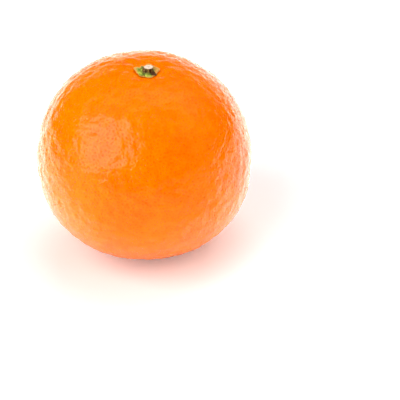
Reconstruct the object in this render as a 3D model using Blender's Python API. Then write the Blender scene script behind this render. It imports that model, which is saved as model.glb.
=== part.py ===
"""A whole mandarin resting on its own flat spot, with its green calyx and a short cut stem.

Metres, +Z up. The origin is at the middle of the flat spot, so the fruit stands on z = 0.
"""

import math

import bmesh
import bpy

# The fruit
FRUIT_RADIUS = 0.0330        # half of the width, at the widest level
CROWN_HEIGHT = 0.0329        # from the widest level up to the stem end, before the seat is sunk
BASE_DEPTH = 0.0289          # from the widest level down to the blossom end
CROWN_FULLNESS = 2.2         # power of the upper outline: 2 is an ellipse, more is squarer
BASE_FULLNESS = 2.05         # power of the lower outline
FLAT_TRIM = 0.0005           # how much of the blossom end the flat spot takes away
OVAL = 0.008                 # share by which the plan is longer one way than the other
OVAL_TURN = 0.6              # direction of the long way, in radians
CORNERS = 0.005              # share by which the plan has four faint corners
SLANT = 0.0009               # how far the widest level climbs on the -X side and drops on the other

# The seat, a shallow hollow at the stem end that holds the calyx
SEAT_DEPTH = 0.0015
SEAT_REACH = 0.0056          # distance over which the hollow fades out
SEAT_X, SEAT_Y = 0.0012, -0.0004    # the stem sits a little off the fruit's middle

# The calyx, a thin button of five sepals
CALYX_RADIUS = 0.0039        # to the tip of a sepal
CALYX_THICKNESS = 0.0007
CALYX_CURL = 0.0003          # how far a tip is lifted off the rind
SEPALS = 5
SEPAL_TURN = 0.1             # direction of the first sepal, in radians from +X
SEPAL_NOTCH = 0.30           # depth of the notch between two sepals, as a share of the radius

# The stem stub
STUB_TOP_RADIUS = 0.00145
STUB_FOOT_RADIUS = 0.00170
STUB_HEIGHT = 0.0010
STUB_LEAN = 0.0004           # how far the cut face stands to the side of the foot, along +X

GAP = 0.0003                 # clearance between pieces that touch
POLE_CROWDING = 0.5          # how strongly the rings of the fruit gather near its two ends

FRUIT_SEGMENTS, FRUIT_RINGS = 64, 38
CALYX_SEGMENTS, CALYX_RINGS = 60, 12
STUB_SEGMENTS = 28


def clear_scene():
    for old in list(bpy.data.objects):
        bpy.data.objects.remove(old, do_unlink=True)


def new_collection(name):
    collection = bpy.data.collections.new(name)
    bpy.context.scene.collection.children.link(collection)
    return collection


def new_material(name, color, roughness):
    material = bpy.data.materials.new(name)
    material.use_nodes = True
    shader = material.node_tree.nodes["Principled BSDF"]
    shader.inputs["Base Color"].default_value = (*color, 1.0)
    shader.inputs["Roughness"].default_value = roughness
    shader.inputs["Metallic"].default_value = 0.0
    return material


def add_piece(name, shape, material, collection):
    """Turn a finished bmesh into a smooth-shaded object of its own."""
    mesh = bpy.data.meshes.new(name)
    shape.to_mesh(mesh)
    shape.free()
    mesh.shade_smooth()
    mesh.set_sharp_from_angle(angle=math.radians(40))
    mesh.materials.append(material)
    piece = bpy.data.objects.new(name, mesh)
    collection.objects.link(piece)
    return piece


def seat_drop(x, y):
    """Depth of the hollow at the stem end, at a place seen from above."""
    distance = math.hypot(x - SEAT_X, y - SEAT_Y)
    return SEAT_DEPTH * math.exp(-((distance / SEAT_REACH) ** 2))


def crown_level(x, y):
    """Height of the rind above the widest level, near the stem end."""
    share = (math.hypot(x, y) / FRUIT_RADIUS) ** CROWN_FULLNESS
    return CROWN_HEIGHT * (1.0 - share) ** (1.0 / CROWN_FULLNESS) - seat_drop(x, y)


def rind_point(polar, around):
    """The rind in one direction: polar angle from +Z, and the angle around it."""
    side, up = math.sin(polar), math.cos(polar)
    height = CROWN_HEIGHT if up > 0.0 else BASE_DEPTH
    fullness = CROWN_FULLNESS if up > 0.0 else BASE_FULLNESS
    outline = (side / FRUIT_RADIUS) ** fullness + (abs(up) / height) ** fullness
    distance = outline ** (-1.0 / fullness)
    oval = OVAL * math.cos(2.0 * (around - OVAL_TURN))
    corners = -CORNERS * math.cos(4.0 * around)
    plan = distance * side * (1.0 + (oval + corners) * side * side)
    x, y = plan * math.cos(around), plan * math.sin(around)
    z = distance * up - SLANT * side * side * math.cos(around)
    if up > 0.0:
        z -= seat_drop(x, y)
    return x, y, z


def build_fruit(material, collection):
    """Rind and flesh grown as one: an oblate body with a sunk stem end and a flat spot."""
    shape = bmesh.new()
    bmesh.ops.create_uvsphere(shape, u_segments=FRUIT_SEGMENTS, v_segments=FRUIT_RINGS, radius=1.0)
    for vert in shape.verts:
        polar = math.acos(max(-1.0, min(1.0, vert.co.z)))
        polar -= POLE_CROWDING * math.sin(2.0 * polar) / 2.0
        around = math.atan2(vert.co.y, vert.co.x)
        vert.co = rind_point(polar, around)

    flat_level = FLAT_TRIM - BASE_DEPTH
    everything = shape.verts[:] + shape.edges[:] + shape.faces[:]
    cut = bmesh.ops.bisect_plane(
        shape, geom=everything, plane_co=(0.0, 0.0, flat_level), plane_no=(0.0, 0.0, -1.0),
        clear_outer=True, dist=1e-7)
    rim = [item for item in cut["geom_cut"] if isinstance(item, bmesh.types.BMEdge)]
    bmesh.ops.contextual_create(shape, geom=rim)
    bmesh.ops.translate(shape, verts=shape.verts, vec=(0.0, 0.0, -flat_level))
    bmesh.ops.recalc_face_normals(shape, faces=shape.faces)
    return add_piece("fruit", shape, material, collection)


def build_calyx(material, collection):
    """Five sepals joined in one button that follows the seat, thick in the middle."""
    shape = bmesh.new()
    bmesh.ops.create_uvsphere(shape, u_segments=CALYX_SEGMENTS, v_segments=CALYX_RINGS, radius=1.0)
    lift = BASE_DEPTH - FLAT_TRIM + GAP
    for vert in shape.verts:
        around = math.atan2(vert.co.y, vert.co.x)
        notch = SEPAL_NOTCH * abs(math.sin(0.5 * SEPALS * (around - SEPAL_TURN)))
        reach = CALYX_RADIUS * (1.0 - notch) * math.hypot(vert.co.x, vert.co.y)
        x = SEAT_X + reach * math.cos(around)
        y = SEAT_Y + reach * math.sin(around)
        rise = CALYX_THICKNESS * 0.5 * (1.0 + vert.co.z) + CALYX_CURL * (reach / CALYX_RADIUS) ** 3
        vert.co = (x, y, crown_level(x, y) + lift + rise)
    bmesh.ops.recalc_face_normals(shape, faces=shape.faces)
    return add_piece("calyx", shape, material, collection)


def build_stem_stub(material, collection):
    """A short woody stub with a flat cut face, leaning a little to one side."""
    shape = bmesh.new()
    bmesh.ops.create_cone(
        shape, cap_ends=True, segments=STUB_SEGMENTS,
        radius1=STUB_FOOT_RADIUS, radius2=STUB_TOP_RADIUS, depth=STUB_HEIGHT)
    for vert in shape.verts:
        vert.co.x += STUB_LEAN * (vert.co.z / STUB_HEIGHT + 0.5)
    calyx_top = crown_level(SEAT_X, SEAT_Y) + BASE_DEPTH - FLAT_TRIM + GAP + CALYX_THICKNESS
    middle = calyx_top + GAP + 0.5 * STUB_HEIGHT
    bmesh.ops.translate(shape, verts=shape.verts, vec=(SEAT_X, SEAT_Y, middle))
    return add_piece("stem_stub", shape, material, collection)


def build_mandarin():
    clear_scene()
    collection = new_collection("mandarin")
    rind = new_material("rind", color=(0.93, 0.22, 0.005), roughness=0.32)
    sepal = new_material("sepal", color=(0.20, 0.27, 0.04), roughness=0.6)
    cut_wood = new_material("cut_wood", color=(0.42, 0.36, 0.20), roughness=0.75)
    build_fruit(rind, collection)
    build_calyx(sepal, collection)
    build_stem_stub(cut_wood, collection)


build_mandarin()
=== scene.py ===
import math
import random

import bmesh
import bpy
from mathutils import Matrix, Vector, kdtree, noise


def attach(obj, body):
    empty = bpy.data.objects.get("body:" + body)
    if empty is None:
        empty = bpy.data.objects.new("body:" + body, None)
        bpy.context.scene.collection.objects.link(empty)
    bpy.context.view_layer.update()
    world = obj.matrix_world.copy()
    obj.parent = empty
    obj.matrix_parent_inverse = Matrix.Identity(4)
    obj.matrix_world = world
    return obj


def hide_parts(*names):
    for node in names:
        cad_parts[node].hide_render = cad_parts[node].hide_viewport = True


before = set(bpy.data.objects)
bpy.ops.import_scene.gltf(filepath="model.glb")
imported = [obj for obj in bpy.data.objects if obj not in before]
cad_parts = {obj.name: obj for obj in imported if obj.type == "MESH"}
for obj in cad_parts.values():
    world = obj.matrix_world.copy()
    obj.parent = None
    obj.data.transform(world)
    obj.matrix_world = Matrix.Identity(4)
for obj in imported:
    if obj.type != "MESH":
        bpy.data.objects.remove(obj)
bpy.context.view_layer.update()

print("frame loaded:", sorted(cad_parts))


def addNode(tree, kind, inputs=None, **settings):
    node = tree.nodes.new(kind)
    for name, value in settings.items():
        setattr(node, name, value)
    for socket, value in (inputs or {}).items():
        if isinstance(value, bpy.types.NodeSocket):
            tree.links.new(value, node.inputs[socket])
        else:
            node.inputs[socket].default_value = value
    return node


def doMath(tree, operation, first, second=0.0):
    return addNode(tree, "ShaderNodeMath", {0: first, 1: second}, operation=operation).outputs[0]


def remap(tree, value, fromLow, fromHigh, toLow=0.0, toHigh=1.0):    # a smooth step, held at both ends
    inputs = {"Value": value, "From Min": fromLow, "From Max": fromHigh, "To Min": toLow, "To Max": toHigh}
    return addNode(tree, "ShaderNodeMapRange", inputs, interpolation_type="SMOOTHSTEP").outputs["Result"]


def mixColor(tree, share, first, second):
    node = addNode(tree, "ShaderNodeMix", data_type="RGBA")
    for socket, value in ((0, share), (6, first), (7, second)):
        if isinstance(value, bpy.types.NodeSocket):
            tree.links.new(value, node.inputs[socket])
        elif socket == 0:
            node.inputs[socket].default_value = value
        else:
            node.inputs[socket].default_value = (*value, 1.0)
    return node.outputs[2]


def noiseValue(tree, place, scale, detail=2.0, roughness=0.5):
    inputs = {"Vector": place, "Scale": scale, "Detail": detail, "Roughness": roughness}
    return addNode(tree, "ShaderNodeTexNoise", inputs).outputs["Fac"]


def attributeValue(tree, name, output="Fac"):
    reader = addNode(tree, "ShaderNodeAttribute", attribute_name=name, attribute_type="GEOMETRY")
    return reader.outputs[output]


def addBump(tree, height, strength, distance, under=None, invert=False):
    inputs = {"Strength": strength, "Distance": distance, "Height": height}
    if under:    # the relief that this one is laid over
        inputs["Normal"] = under
    return addNode(tree, "ShaderNodeBump", inputs, invert=invert).outputs[0]


def newMaterial(name):
    material = bpy.data.materials.new(name)
    material.use_nodes = True
    tree = material.node_tree
    shader = tree.nodes["Principled BSDF"]
    place = addNode(tree, "ShaderNodeTexCoord").outputs["Object"]
    return material, tree, shader, place


def finishPiece(name, shape, material, node):
    mesh = bpy.data.meshes.new(name)
    shape.to_mesh(mesh)
    shape.free()
    mesh.shade_smooth()
    mesh.materials.append(material)
    piece = bpy.data.objects.new(name, mesh)
    bpy.context.scene.collection.objects.link(piece)
    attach(piece, "root")
    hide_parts(node)
    print(name, "built:", len(mesh.polygons), "faces")
    return piece


fruit = {
    "radius": 0.0330,          # half width at the widest level
    "crownHeight": 0.0329,
    "baseDepth": 0.0289,
    "crownFullness": 2.2,      # 2 is an ellipse, more is squarer
    "baseFullness": 2.05,
    "flatTrim": 0.0005,        # what the resting spot takes off the blossom end
    "oval": 0.008,             # share by which the plan is longer one way
    "ovalTurn": 0.6,           # that way, in radians
    "corners": 0.005,          # share by which it has four faint corners
    "slant": 0.0009,           # the widest level climbs towards -X
    "seatDepth": 0.0015,
    "seatReach": 0.0056,
    "seat": (0.0012, -0.0004),    # the stem sits a little off the middle
    "furrows": (9, 0.00009, 0.0062, 0.0030),    # number, depth, where they are deepest, reach
    "furrowWander": (2.5, 160.0),    # how far they stray, and the scale of that
    "contactRound": 0.00015,   # how softly the skin meets the table
    "scar": (0.0013, 0.0003),  # radius and depth of the mark at the blossom end
    "scarLevel": 0.002,        # it stays below this level
    "glands": 11000,
    "glandScatter": 0.32,      # random shift of a gland, as a share of their spacing
    "glandRelax": 4,           # rounds of evening out
    "glandPush": 0.35,         # share of its overlap that a gland is moved by in one round
    "glandNear": 7,            # the gland itself and the six nearest
    "glandBig": (0.75, 1.0),   # range of strength of the large glands
    "glandSmall": (0.3, 0.65),    # and of the small ones
    "bigShare": 0.4,
    "pitDepth": 0.00010,
    "pitReach": 0.46,          # radius of a pit, as a share of the spacing
    "waves": ((75.0, 0.00025), (200.0, 0.00017), (420.0, 0.00018), (720.0, 0.00010)),    # scale and height
    "seed": 11,
    "skin": ((0.91, 0.184, 0.0), (0.96, 0.227, 0.0)),    # two ground colours, in broad patches
    "bloom": (0.98, 0.275, 0.0),    # lighter mottling
    "halo": (0.87, 0.154, 0.0),     # around a gland
    "pore": (0.74, 0.100, 0.0),     # and in its middle
    "scarColor": (0.22, 0.10, 0.02),
    "gloss": (0.16, 0.22),     # range of roughness between the pores
    "ior": 1.40,
    "flesh": (0.3, 0.0025),    # how much light enters the skin, and how deep
}


def seatDrop(x, y):
    distance = math.hypot(x - fruit["seat"][0], y - fruit["seat"][1])
    return fruit["seatDepth"] * math.exp(-((distance / fruit["seatReach"]) ** 2))


def rindPoint(direction):    # the smooth skin in one direction from the widest level
    side = math.hypot(direction.x, direction.y)
    up = direction.z
    around = math.atan2(direction.y, direction.x)
    height = fruit["crownHeight"] if up > 0.0 else fruit["baseDepth"]
    fullness = fruit["crownFullness"] if up > 0.0 else fruit["baseFullness"]
    outline = (side / fruit["radius"]) ** fullness + (abs(up) / height) ** fullness
    distance = outline ** (-1.0 / fullness)
    oval = fruit["oval"] * math.cos(2.0 * (around - fruit["ovalTurn"]))
    corners = -fruit["corners"] * math.cos(4.0 * around)
    plan = distance * side * (1.0 + (oval + corners) * side * side)
    x, y = plan * math.cos(around), plan * math.sin(around)
    z = distance * up - fruit["slant"] * side * side * math.cos(around)
    if up > 0.0:
        z -= seatDrop(x, y)
    return Vector((x, y, z + fruit["baseDepth"] - fruit["flatTrim"]))


def unevenness(point):    # soft dents and furrows, outward
    lift = sum(noise.noise(point * scale) * height for scale, height in fruit["waves"])
    if point.z > fruit["baseDepth"]:
        number, depth, deepest, reach = fruit["furrows"]
        x, y = point.x - fruit["seat"][0], point.y - fruit["seat"][1]
        stray, scale = fruit["furrowWander"]
        wander = stray * noise.noise(point * scale)
        away = (math.hypot(x, y) - deepest) / reach
        lift += depth * math.exp(-away * away) * math.cos(number * math.atan2(y, x) + wander)
    return lift


def glandDirections():    # evenly spread with a natural scatter, on a unit ball
    chance = random.Random(fruit["seed"])
    count = fruit["glands"]
    spacing = math.sqrt(4.0 * math.pi / count * 2.0 / math.sqrt(3.0))
    goldenAngle = math.pi * (3.0 - math.sqrt(5.0))
    points = []
    for i in range(count):
        z = 1.0 - 2.0 * (i + 0.5) / count
        ring = math.sqrt(1.0 - z * z)
        point = Vector((ring * math.cos(i * goldenAngle), ring * math.sin(i * goldenAngle), z))
        shift = Vector((chance.gauss(0, 1), chance.gauss(0, 1), chance.gauss(0, 1)))
        points.append((point + shift * spacing * fruit["glandScatter"]).normalized())
    for turn in range(fruit["glandRelax"]):    # crowded neighbours push each other apart
        tree = kdtree.KDTree(count)
        for i, point in enumerate(points):
            tree.insert(point, i)
        tree.balance()
        moved = []
        for i, point in enumerate(points):
            push = Vector()
            for near, j, distance in tree.find_n(point, fruit["glandNear"]):
                if j != i and distance < spacing:
                    push += (point - near).normalized() * (spacing - distance)
            moved.append((point + push * fruit["glandPush"]).normalized())
        points = moved
    return points


def nearestGland(share):    # squared distance to the nearest corner of a cell, sides counted as 1
    a, b, c = share
    return min(b * b + c * c + b * c, a * a + c * c + a * c, a * a + b * b + a * b)


def buildFruit(material):
    chance = random.Random(fruit["seed"] + 1)
    body = bmesh.new()
    size = body.verts.layers.float.new("glandSize")
    for direction in glandDirections():
        vert = body.verts.new(direction)
        big = chance.random() < fruit["bigShare"]
        vert[size] = chance.uniform(*fruit["glandBig" if big else "glandSmall"])
    bmesh.ops.convex_hull(body, input=body.verts[:])
    share = body.loops.layers.float_vector.new("cellShare")
    corners = (Vector((1, 0, 0)), Vector((0, 1, 0)), Vector((0, 0, 1)))
    for face in body.faces:
        for loop, corner in zip(face.loops, corners):
            loop[share] = corner
    bmesh.ops.subdivide_edges(body, edges=body.edges[:], cuts=2, use_grid_fill=True)
    for vert in body.verts:
        vert.co = rindPoint(vert.co.normalized())
    body.normal_update()
    normals = [vert.normal.copy() for vert in body.verts]
    soft = fruit["contactRound"]
    scarRadius, scarDepth = fruit["scar"]
    for vert, normal in zip(body.verts, normals):
        away = math.sqrt(nearestGland(vert.link_loops[0][share]))
        pit = max(0.0, 1.0 - (away / fruit["pitReach"]) ** 2) ** 2
        vert.co += normal * (unevenness(vert.co) - pit * vert[size] * fruit["pitDepth"])
        vert.co.z = 0.5 * (vert.co.z + math.sqrt(vert.co.z ** 2 + soft ** 2))
        if vert.co.z < fruit["scarLevel"]:
            vert.co.z += scarDepth * math.exp(-(math.hypot(vert.co.x, vert.co.y) / scarRadius) ** 2)
    bmesh.ops.recalc_face_normals(body, faces=body.faces[:])
    return finishPiece("mandarinRind", body, material, "fruit")


def rindMaterial():
    material, tree, shader, place = newMaterial("glossyRind")
    share = addNode(tree, "ShaderNodeSeparateXYZ", {0: attributeValue(tree, "cellShare", "Vector")}).outputs
    size = attributeValue(tree, "glandSize")

    def awayFrom(b, c):    # squared distance to one corner of the cell
        squares = doMath(tree, "ADD", doMath(tree, "MULTIPLY", b, b), doMath(tree, "MULTIPLY", c, c))
        return doMath(tree, "ADD", squares, doMath(tree, "MULTIPLY", b, c))

    nearest = doMath(tree, "MINIMUM", awayFrom(share[1], share[2]), awayFrom(share[0], share[2]))
    nearest = doMath(tree, "MINIMUM", nearest, awayFrom(share[0], share[1]))
    away = doMath(tree, "SQRT", nearest)
    pore = doMath(tree, "MULTIPLY", remap(tree, away, 0.30, 0.04), size)
    halo = doMath(tree, "MULTIPLY", remap(tree, away, 0.55, 0.22), size)

    patches = noiseValue(tree, place, 70.0, detail=3.0)
    mottle = noiseValue(tree, place, 420.0, detail=3.0, roughness=0.6)
    grain = noiseValue(tree, place, 2600.0, detail=2.0)

    color = mixColor(tree, remap(tree, patches, 0.35, 0.65), *fruit["skin"])
    color = mixColor(tree, remap(tree, mottle, 0.35, 0.72, 0.0, 0.5), color, fruit["bloom"])
    color = mixColor(tree, doMath(tree, "MULTIPLY", halo, 0.35), color, fruit["halo"])
    color = mixColor(tree, doMath(tree, "MULTIPLY", pore, 0.35), color, fruit["pore"])
    x, y, height = addNode(tree, "ShaderNodeSeparateXYZ", {0: place}).outputs
    squares = doMath(tree, "ADD", doMath(tree, "MULTIPLY", x, x), doMath(tree, "MULTIPLY", y, y))
    fromAxis = doMath(tree, "SQRT", squares)
    scar = doMath(tree, "MULTIPLY", remap(tree, height, 0.003, 0.001), remap(tree, fromAxis, 0.0015, 0.0007))
    color = mixColor(tree, scar, color, fruit["scarColor"])
    tree.links.new(color, shader.inputs["Base Color"])

    rough = remap(tree, mottle, 0.3, 0.7, *fruit["gloss"])
    rough = doMath(tree, "ADD", rough, doMath(tree, "MULTIPLY", pore, 0.12))
    tree.links.new(rough, shader.inputs["Roughness"])

    relief = addBump(tree, pore, 1.0, 0.00006, invert=True)
    relief = addBump(tree, grain, 0.6, 0.00003, relief)
    relief = addBump(tree, mottle, 0.6, 0.0001, relief)
    tree.links.new(relief, shader.inputs["Normal"])
    shader.inputs["IOR"].default_value = fruit["ior"]
    weight, depth = fruit["flesh"]
    shader.inputs["Subsurface Weight"].default_value = weight
    shader.inputs["Subsurface Radius"].default_value = (1.0, 0.3, 0.06)    # red light travels furthest
    shader.inputs["Subsurface Scale"].default_value = depth
    return material


calyx = {
    "notch": 0.0025,           # from the middle to the notch between two sepals
    "segments": (200, 56),
    "outline": 0.06,           # how ragged the outline is
    "lobeFullness": 1.9,       # of a sepal's tip: more is blunter
    "ribNarrow": 5.0,          # how narrow a midrib is
    "ownLooks": 1.6,           # how little a sepal's colours spread into the next one
    "collar": (0.0017, 0.0026),    # the raised ring around the stub: where it ends and where it has faded
    "collarHeight": 0.00095,
    "leafHeight": 0.00048,
    "tipHeight": 0.00017,
    "lift": 0.00004,           # gap to the rind
    "midrib": 0.00011,
    "wrinkles": ((800.0, 0.00022), (2300.0, 0.00010)),    # scale and height
    "rimRound": 3.0,           # how full the rim is, more is squarer
    "thinnest": 0.0001,        # the least height of the shell
    "green": ((0.46, 0.51, 0.075), (0.090, 0.160, 0.006)),    # fresh and dark
    "paintedCollarShade": (0.085, 0.070, 0.003),    # painted shade at the foot of the collar
    "darkBrown": (0.080, 0.026, 0.006),
    "straw": (0.70, 0.34, 0.075),      # dried rims
    "fleck": (0.50, 0.42, 0.10),
    "sepals": (    # degrees from +X, length, half width in degrees, lift of the tip, dark, brown, dried share
        {"towards": 172.0, "length": 0.00385, "halfWidth": 46.0, "curl": 0.00065, "dark": 0.05, "brown": 0.0,
         "dry": 0.20},
        {"towards": 234.0, "length": 0.00345, "halfWidth": 36.0, "curl": 0.00020, "dark": 0.60, "brown": 0.0,
         "dry": 0.06},
        {"towards": 283.0, "length": 0.00375, "halfWidth": 32.0, "curl": 0.00010, "dark": 0.10, "brown": 0.15,
         "dry": 0.14},
        {"towards": 322.0, "length": 0.00345, "halfWidth": 33.0, "curl": 0.00010, "dark": 0.50, "brown": 1.3,
         "dry": 0.02},
        {"towards": 11.0, "length": 0.00395, "halfWidth": 38.0, "curl": 0.00055, "dark": 0.15, "brown": 0.1,
         "dry": 0.42},
        {"towards": 66.0, "length": 0.00365, "halfWidth": 44.0, "curl": 0.00070, "dark": 0.30, "brown": 0.3,
         "dry": 0.60},
        {"towards": 122.0, "length": 0.00320, "halfWidth": 30.0, "curl": 0.00030, "dark": 0.60, "brown": 0.4,
         "dry": 0.20},
    ),
}


def ease(low, high, value):
    share = max(0.0, min(1.0, (value - low) / (high - low)))
    return share * share * (3.0 - 2.0 * share)


def blend(first, second, share):
    return first + (second - first) * share


def rindLevel(x, y):    # height of the rind beside the stem
    distance = math.hypot(x, y) / fruit["radius"]
    crown = (1.0 - distance ** fruit["crownFullness"]) ** (1.0 / fruit["crownFullness"])
    level = fruit["crownHeight"] * crown - seatDrop(x, y) + fruit["baseDepth"] - fruit["flatTrim"]
    return level + unevenness(Vector((x, y, level)))


def sepalAt(around):    # what the calyx is like in one direction
    reach, total, rib = calyx["notch"], 0.0, 0.0
    looks = {"curl": 0.0, "dark": 0.0, "brown": 0.0, "dry": 0.0}
    for sepal in calyx["sepals"]:
        turn = around - math.radians(sepal["towards"])
        turn = math.atan2(math.sin(turn), math.cos(turn)) / math.radians(sepal["halfWidth"])
        pointed = max(0.0, 1.0 - abs(turn) ** calyx["lobeFullness"])
        reach = max(reach, blend(calyx["notch"], sepal["length"], pointed))
        rib = max(rib, math.exp(-(calyx["ribNarrow"] * turn) ** 2))
        weight = math.exp(-(calyx["ownLooks"] * turn) ** 2) + 1e-6
        total += weight
        for name in looks:
            looks[name] += sepal[name] * weight
    ragged = Vector((math.cos(around), math.sin(around), 0.3))
    reach *= 1.0 + calyx["outline"] * (noise.noise(ragged * 3.0) + 0.5 * noise.noise(ragged * 11.0))
    return reach, rib, {name: value / total for name, value in looks.items()}


def buildCalyx(material):
    shape = bmesh.new()
    around, rings = calyx["segments"]
    bmesh.ops.create_uvsphere(shape, u_segments=around, v_segments=rings, radius=1.0)
    layers = {name: shape.verts.layers.float.new(name) for name in ("outward", "dark", "brown", "dry")}
    longest = max(sepal["length"] for sepal in calyx["sepals"])
    full = calyx["rimRound"]
    for vert in shape.verts:
        around = math.atan2(vert.co.y, vert.co.x)
        reach, rib, looks = sepalAt(around)
        share = math.hypot(vert.co.x, vert.co.y)
        side = math.tanh(full * vert.co.z) / math.tanh(full)    # 1 on the upper face, -1 on the lower one
        out = share * reach
        x = fruit["seat"][0] + out * math.cos(around)
        y = fruit["seat"][1] + out * math.sin(around)
        leaf = blend(calyx["leafHeight"], calyx["tipHeight"], ease(calyx["notch"], longest, out))
        height = blend(calyx["collarHeight"], leaf, ease(*calyx["collar"], out))
        place = Vector((x, y, 0.0))
        crumple = sum(noise.noise(place * scale) * size for scale, size in calyx["wrinkles"])
        height += crumple * ease(0.0, calyx["notch"], out)
        height += calyx["midrib"] * rib * ease(calyx["collar"][0], calyx["notch"], out) * (1.0 - share)
        under = rindLevel(x, y) + calyx["lift"] + looks["curl"] * ease(0.5, 1.05, out / longest)
        vert.co = (x, y, under + max(calyx["thinnest"], height) * 0.5 * (1.0 + side))
        vert[layers["outward"]] = share
        for name in ("dark", "brown", "dry"):
            vert[layers[name]] = looks[name]
    bmesh.ops.recalc_face_normals(shape, faces=shape.faces[:])
    return finishPiece("mandarinCalyx", shape, material, "calyx")


def calyxMaterial():
    material, tree, shader, place = newMaterial("sepalSkin")
    outward = attributeValue(tree, "outward")
    dark = attributeValue(tree, "dark")
    brown = attributeValue(tree, "brown")
    cloud = noiseValue(tree, place, 900.0, detail=3.0, roughness=0.6)
    fleck = noiseValue(tree, place, 3200.0, detail=2.0)

    deep = doMath(tree, "ADD", dark, remap(tree, cloud, 0.3, 0.7, -0.35, 0.45))
    color = mixColor(tree, remap(tree, deep, 0.1, 0.75), *calyx["green"])
    # painted shade: a darker ring in the crease at the foot of the collar
    ring = doMath(tree, "MULTIPLY", remap(tree, outward, 0.40, 0.50), remap(tree, outward, 0.75, 0.55))
    color = mixColor(tree, doMath(tree, "MULTIPLY", ring, 0.65), color, calyx["paintedCollarShade"])
    # dark brown patches, from each sepal's brown share and from noise
    darkBrown = doMath(tree, "ADD", brown, remap(tree, cloud, 0.7, 0.3, -0.3, 0.35))
    color = mixColor(tree, remap(tree, darkBrown, 0.35, 0.75), color, calyx["darkBrown"])
    rim = doMath(tree, "ADD", outward, remap(tree, cloud, 0.3, 0.7, -0.08, 0.08))
    rim = doMath(tree, "ADD", rim, attributeValue(tree, "dry"))
    color = mixColor(tree, remap(tree, rim, 0.94, 1.10, 0.0, 0.9), color, calyx["straw"])
    color = mixColor(tree, remap(tree, fleck, 0.58, 0.72, 0.0, 0.5), color, calyx["fleck"])
    tree.links.new(color, shader.inputs["Base Color"])
    tree.links.new(remap(tree, fleck, 0.3, 0.7, 0.5, 0.7), shader.inputs["Roughness"])
    relief = addBump(tree, cloud, 0.8, 0.00012)
    relief = addBump(tree, fleck, 0.7, 0.00005, relief)
    tree.links.new(relief, shader.inputs["Normal"])
    return material


stub = {
    "segments": (128, 60),
    "foot": (0.00130, -0.0004),    # its middle, seen from above
    "lean": 0.00040,           # the cut face stands further to +X
    "top": 0.0620,             # level of the cut face
    "length": 0.00135,         # down to where the foot is sunk in the collar
    "topRadius": 0.00145,
    "footRadius": 0.00175,
    "ridges": (3.2, 0.00016),  # scale around the stub, and height
    "saw": (1800.0, 0.00007),  # roughness of the cut: scale and height
    "tilt": -5.0,              # degrees that the cut face leans towards -Y
    "flatEnd": 0.34,           # shares along the outline: where the cut face ends,
    "rimEnd": 0.42,            # where its rounded rim ends,
    "wallEnd": 0.88,           # and where the wall reaches the foot
    "rimWidth": 0.07,          # share of the radius that the rim takes
    "rimDrop": 0.09,           # share of the length
    "bark": ((0.075, 0.030, 0.006), (0.36, 0.24, 0.075)),    # dark and light streaks
    "wood": ((0.82, 0.68, 0.54), (0.62, 0.48, 0.41)),
    "rimColor": (0.40, 0.28, 0.11),
    "pith": (0.46, 0.33, 0.17),
}


def stubProfile(share):    # radius and height share, from the cut face's middle to the foot's middle
    top, foot = stub["topRadius"], stub["footRadius"]
    flatEnd, rimEnd, wallEnd = stub["flatEnd"], stub["rimEnd"], stub["wallEnd"]
    width, drop = stub["rimWidth"], stub["rimDrop"]
    if share < flatEnd:
        return top * (1.0 - width) * share / flatEnd, 1.0
    if share < rimEnd:
        bend = (share - flatEnd) / (rimEnd - flatEnd) * math.pi / 2.0
        return top * (1.0 - width + width * math.sin(bend)), 1.0 - drop * (1.0 - math.cos(bend))
    if share < wallEnd:
        down = (share - rimEnd) / (wallEnd - rimEnd)
        return blend(top, foot, down ** 2.0), (1.0 - drop) * (1.0 - down)
    return foot * (1.0 - share) / (1.0 - wallEnd), 0.0


def buildStub(material):
    shape = bmesh.new()
    around, rings = stub["segments"]
    bmesh.ops.create_uvsphere(shape, u_segments=around, v_segments=rings, radius=1.0)
    cutLayer = shape.verts.layers.float.new("cutFace")
    outLayer = shape.verts.layers.float.new("outward")
    footX, footY = stub["foot"]
    for vert in shape.verts:
        around = math.atan2(vert.co.y, vert.co.x)
        share = math.acos(max(-1.0, min(1.0, vert.co.z))) / math.pi
        radius, level = stubProfile(share)
        ringPlace = Vector((math.cos(around), math.sin(around), level * 0.25)) * stub["ridges"][0]
        ragged = noise.noise(ringPlace) + 0.5 * noise.noise(ringPlace * 2.6)
        wall = ease(0.30, 0.45, share)    # the wall is more ragged than the cut face's edge
        radius += (0.35 + 0.65 * wall) * ease(0.0, stub["flatEnd"], share) * stub["ridges"][1] * ragged
        x = footX + stub["lean"] * level + radius * math.cos(around)
        y = footY + radius * math.sin(around)
        z = stub["top"] - stub["length"] * (1.0 - level)
        rough = noise.noise(Vector((x, y, 0.0)) * stub["saw"][0]) * stub["saw"][1]
        z += level * (rough + (y - footY) * math.tan(math.radians(stub["tilt"])))
        vert.co = (x, y, z)
        vert[cutLayer] = 1.0 - ease(0.36, stub["rimEnd"], share)
        vert[outLayer] = min(1.0, share / stub["rimEnd"])
    bmesh.ops.recalc_face_normals(shape, faces=shape.faces[:])
    return finishPiece("mandarinStub", shape, material, "stem_stub")


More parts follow.
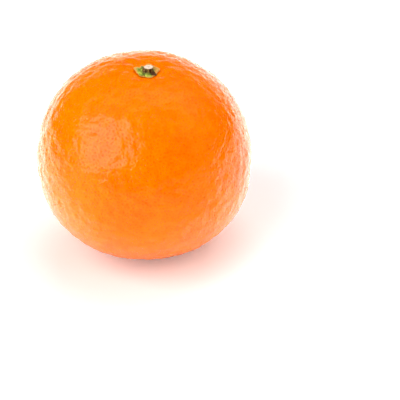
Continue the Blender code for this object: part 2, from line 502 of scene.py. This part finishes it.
def stubMaterial():
    material, tree, shader, place = newMaterial("cutStem")
    cut = attributeValue(tree, "cutFace")
    outward = attributeValue(tree, "outward")
    stretched = addNode(tree, "ShaderNodeMapping", {"Vector": place, "Scale": (1.0, 1.0, 0.15)}).outputs[0]
    streak = noiseValue(tree, stretched, 1500.0, detail=3.0, roughness=0.65)
    fleck = noiseValue(tree, place, 2600.0, detail=3.0)

    bark = mixColor(tree, remap(tree, streak, 0.42, 0.60), *stub["bark"])
    wood = mixColor(tree, remap(tree, fleck, 0.35, 0.65), *stub["wood"])
    wood = mixColor(tree, remap(tree, outward, 0.72, 0.84, 0.0, 0.75), wood, stub["rimColor"])
    wood = mixColor(tree, remap(tree, outward, 0.24, 0.12, 0.0, 0.6), wood, stub["pith"])
    tree.links.new(mixColor(tree, cut, bark, wood), shader.inputs["Base Color"])
    tree.links.new(remap(tree, fleck, 0.3, 0.7, 0.6, 0.8), shader.inputs["Roughness"])
    relief = addBump(tree, streak, 0.8, 0.00008)
    relief = addBump(tree, fleck, 0.6, 0.00004, relief)
    tree.links.new(relief, shader.inputs["Normal"])
    return material


stage = {
    "floorSize": (1.45, 1.70),
    "floorShift": (0.265, 0.55),    # the table reaches further to the right and behind the fruit
    "floorTone": (0.90, 0.92),
    "floorGlow": (1.6, 1.25),  # the table is lit from below as well: near the fruit and further off
    "glowReach": (0.07, 0.17),    # metres from the fruit's middle, for the two
    "contact": (0.018, 0.055),    # the glow fades out under the fruit
    "floorBounce": 0.26,       # share of the glow that lights the skin evenly
    "frontEdge": (-0.02, -0.055),    # from here forward the table is masked from the gloss
    "frontHidden": 0.75,       # share that is masked there
    "floorSeen": (0.15, 0.9),  # what the camera sees of it, near the fruit and far away
    "seenReach": (0.10, 0.40),
    "tableLight": 0.30,        # what the skin mirrors below the horizon, past the table
    "roomLight": 0.04,         # above it
    "horizon": (-0.06, 0.02),  # where the one turns into the other
    "backdropLight": 1.10,     # and a bright backdrop, low behind the table
    "backdropTop": (0.33, 0.17),     # its edges, as parts of a direction: where it starts and is full
    "backdropDepth": (0.3, 0.6),
    "backdropLeft": (-0.62, -0.28),
    "backdropRight": (0.80, 0.60),
    "contrast": 0.90,          # display gamma
    "black": 0.005,            # and black level
    "boxes": {
        "leftBox": {"towards": (-0.645, -0.465, 0.605), "upward": (0.07, 0.81, 0.58), "distance": 1.0,
                    "width": 1.02, "height": 1.10, "watts": 13.0, "inGloss": True},
        "overheadStrip": {"towards": (0.05, 0.36, 0.93), "upward": (0.0, 1.0, 0.0), "distance": 1.1,
                          "width": 2.4, "height": 0.36, "watts": 1.7, "inGloss": True},
        "rightFill": {"towards": (0.75, -0.25, 0.62), "upward": (0.0, 0.0, 1.0), "distance": 1.3,
                      "width": 1.2, "height": 1.2, "watts": 9.0, "inGloss": False},
        "topFill": {"towards": (0.20, 0.42, 0.88), "upward": (0.0, 1.0, 0.0), "distance": 1.4,
                    "width": 1.2, "height": 1.2, "watts": 11.5, "inGloss": False},
    },
}

camera = {
    "elevation": 33.5,
    "distance": 0.60,
    "lens": 175.6,
    "aimRight": 0.0168,      # the fruit stands left of the middle and above it
    "aimDown": 0.0139,
    "fruitMiddle": 0.0300,   # height of the point that is looked at
}


def buildFloor():
    plane = bmesh.new()
    bmesh.ops.create_grid(plane, x_segments=1, y_segments=1, size=0.5)
    bmesh.ops.scale(plane, verts=plane.verts, vec=(*stage["floorSize"], 1.0))
    bmesh.ops.translate(plane, verts=plane.verts, vec=(*stage["floorShift"], 0.0))
    material, tree, shader, place = newMaterial("whiteFloor")
    path = addNode(tree, "ShaderNodeLightPath").outputs
    front = remap(tree, addNode(tree, "ShaderNodeSeparateXYZ", {0: place}).outputs[1], *stage["frontEdge"])
    hidden = doMath(tree, "MULTIPLY", front, path["Is Glossy Ray"])
    mirrored = doMath(tree, "SUBTRACT", 1.0, doMath(tree, "MULTIPLY", hidden, stage["frontHidden"]))
    tone = remap(tree, noiseValue(tree, place, 3.0, detail=1.0), 0.3, 0.7, *stage["floorTone"])
    tone = doMath(tree, "MULTIPLY", tone, mirrored)
    tree.links.new(addNode(tree, "ShaderNodeCombineColor", {0: tone, 1: tone, 2: tone}).outputs[0],
                   shader.inputs["Base Color"])
    shader.inputs["Roughness"].default_value = 0.6
    shader.inputs["Emission Color"].default_value = (1.0, 1.0, 1.0, 1.0)
    away = addNode(tree, "ShaderNodeVectorMath", {0: place}, operation="LENGTH").outputs["Value"]
    glow = remap(tree, away, *stage["glowReach"], *stage["floorGlow"])
    glow = doMath(tree, "MULTIPLY", glow, mirrored)
    glow = doMath(tree, "MULTIPLY", glow, remap(tree, away, *stage["contact"]))
    bounce = remap(tree, path["Is Diffuse Ray"], 0.0, 1.0, 1.0, stage["floorBounce"])
    glow = doMath(tree, "MULTIPLY", glow, bounce)
    seen = addNode(tree, "ShaderNodeMix", data_type="FLOAT")
    tree.links.new(path["Is Camera Ray"], seen.inputs[0])
    tree.links.new(glow, seen.inputs[2])
    tree.links.new(remap(tree, away, *stage["seenReach"], *stage["floorSeen"]), seen.inputs[3])
    tree.links.new(seen.outputs[0], shader.inputs["Emission Strength"])
    mesh = bpy.data.meshes.new("floor")
    plane.to_mesh(mesh)
    plane.free()
    mesh.materials.append(material)
    floor = bpy.data.objects.new("floor", mesh)
    bpy.context.scene.collection.objects.link(floor)


def buildWorld():
    world = bpy.data.worlds.new("studio")
    bpy.context.scene.world = world
    world.use_nodes = True
    tree = world.node_tree
    background = tree.nodes["Background"]
    direction = addNode(tree, "ShaderNodeTexCoord").outputs["Generated"]
    x, y, height = addNode(tree, "ShaderNodeSeparateXYZ", {0: direction}).outputs
    mirrored = remap(tree, height, *stage["horizon"], stage["tableLight"], stage["roomLight"])
    backdrop = doMath(tree, "MULTIPLY", remap(tree, height, *stage["backdropTop"]),
                      remap(tree, y, *stage["backdropDepth"]))
    sides = doMath(tree, "MULTIPLY", remap(tree, x, *stage["backdropLeft"]),
                   remap(tree, x, *stage["backdropRight"]))
    backdrop = doMath(tree, "MULTIPLY", doMath(tree, "MULTIPLY", backdrop, sides), stage["backdropLight"])
    mirrored = doMath(tree, "ADD", mirrored, backdrop)
    seen = addNode(tree, "ShaderNodeLightPath").outputs["Is Camera Ray"]
    tree.links.new(doMath(tree, "MAXIMUM", seen, mirrored), background.inputs["Strength"])
    background.inputs["Color"].default_value = (1.0, 1.0, 1.0, 1.0)


def buildLights():
    middle = Vector((0.0, 0.0, camera["fruitMiddle"]))
    for name, box in stage["boxes"].items():
        light = bpy.data.lights.new(name, "AREA")
        light.shape = "RECTANGLE"
        light.size, light.size_y = box["width"], box["height"]
        light.energy = box["watts"]
        lamp = bpy.data.objects.new(name, light)
        outward = Vector(box["towards"]).normalized()
        across = Vector(box["upward"]).cross(outward).normalized()
        lamp.location = middle + outward * box["distance"]
        lamp.rotation_mode = "QUATERNION"
        turned = Matrix((across, outward.cross(across), outward)).transposed()
        lamp.rotation_quaternion = turned.to_quaternion()
        lamp.visible_glossy = box["inGloss"]
        bpy.context.scene.collection.objects.link(lamp)


def buildCamera():
    tilt = math.radians(camera["elevation"])
    right = Vector((1.0, 0.0, 0.0))
    up = Vector((0.0, math.sin(tilt), math.cos(tilt)))
    back = Vector((0.0, -math.cos(tilt), math.sin(tilt)))
    middle = Vector((0.0, 0.0, camera["fruitMiddle"]))
    eye = middle + back * camera["distance"]
    aim = middle + right * camera["aimRight"] - up * camera["aimDown"]
    data = bpy.data.cameras.new("camera")
    data.lens = camera["lens"]
    data.sensor_width = 36.0
    viewer = bpy.data.objects.new("camera", data)
    viewer.location = eye
    viewer.rotation_mode = "QUATERNION"
    viewer.rotation_quaternion = (aim - eye).to_track_quat("-Z", "Y")
    bpy.context.scene.collection.objects.link(viewer)
    bpy.context.scene.camera = viewer


bpy.context.scene.view_settings.view_transform = "Standard"
bpy.context.scene.view_settings.gamma = stage["contrast"]
bpy.context.scene.view_settings.use_curve_mapping = True
bpy.context.scene.view_settings.curve_mapping.black_level = (stage["black"],) * 3
bpy.context.scene.view_settings.curve_mapping.update()
buildCamera()
buildWorld()
buildLights()
buildFloor()
print("stage ready")
buildFruit(rindMaterial())
buildCalyx(calyxMaterial())
buildStub(stubMaterial())
